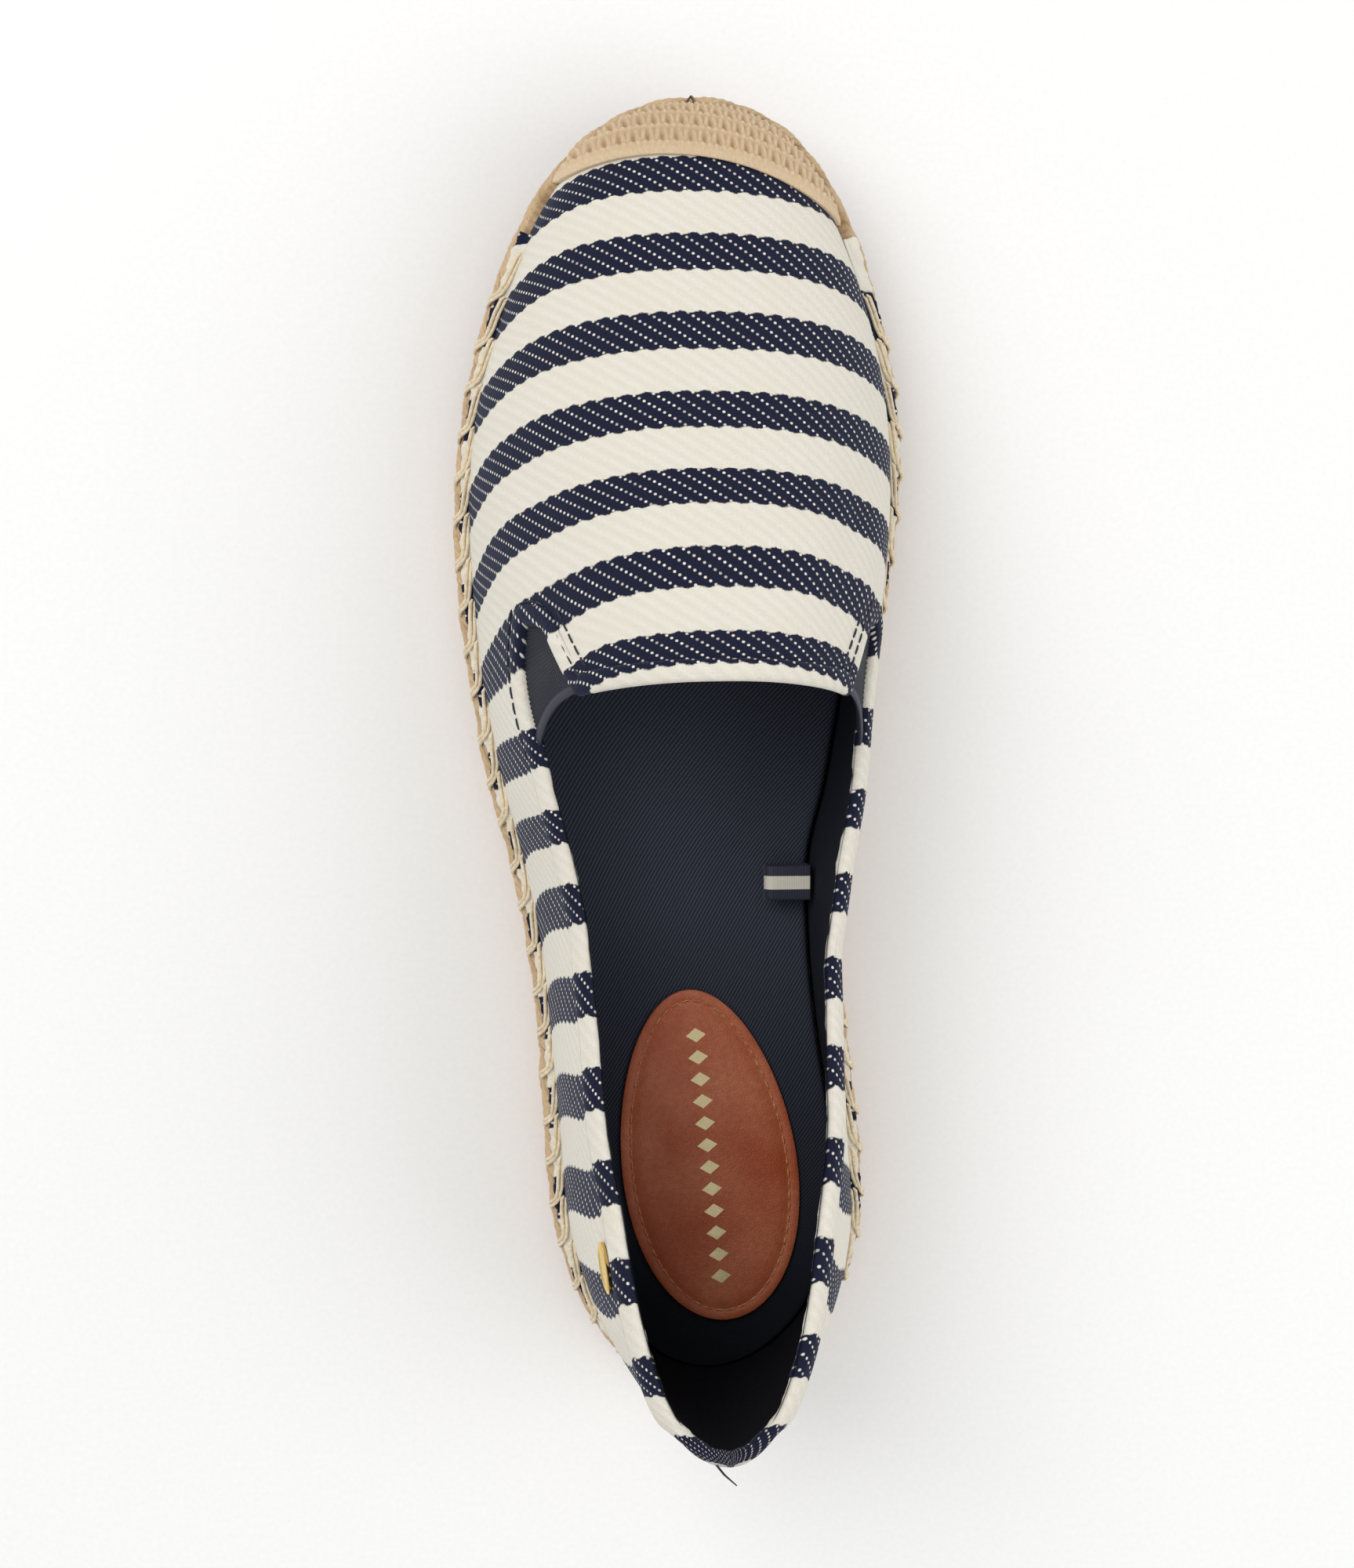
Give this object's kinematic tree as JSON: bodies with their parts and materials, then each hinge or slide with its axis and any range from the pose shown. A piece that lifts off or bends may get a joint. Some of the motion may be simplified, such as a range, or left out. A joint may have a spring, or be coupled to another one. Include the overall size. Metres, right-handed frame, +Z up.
{
  "type": "espadrille",
  "caption": "Left slip-on espadrille: striped canvas upper with elastic side gussets, crocheted toe cap, braided jute midsole and rubber outsole.",
  "frame": {"origin": "middle of the shoe's outline on the floor that it stands on", "axes": "+Y towards the toe, +X towards the inner (medial) side of the foot, +Z up"},
  "size_m": [0.0892, 0.26, 0.083],
  "materials": {
    "rubber": "matte moulded gum rubber",
    "jute": "braided jute cord",
    "canvas": "striped cotton twill, navy and cream",
    "crochet": "crocheted cotton yarn",
    "elastic": "ribbed elastic webbing",
    "insole_cloth": "fine navy twill",
    "leather": "smooth grained leather",
    "ribbon": "woven ribbon",
    "stud": "polished gold-coloured plate"
  },
  "bodies": {
    "root": {"outsole": "rubber", "jute_midsole": "jute", "upper": "canvas", "toe_cap": "crochet", "gore_lateral": "elastic", "gore_medial": "elastic", "insole": "insole_cloth", "heel_patch": "leather", "side_tab": "ribbon", "heel_stud": "stud"}
  },
  "joints": []
}
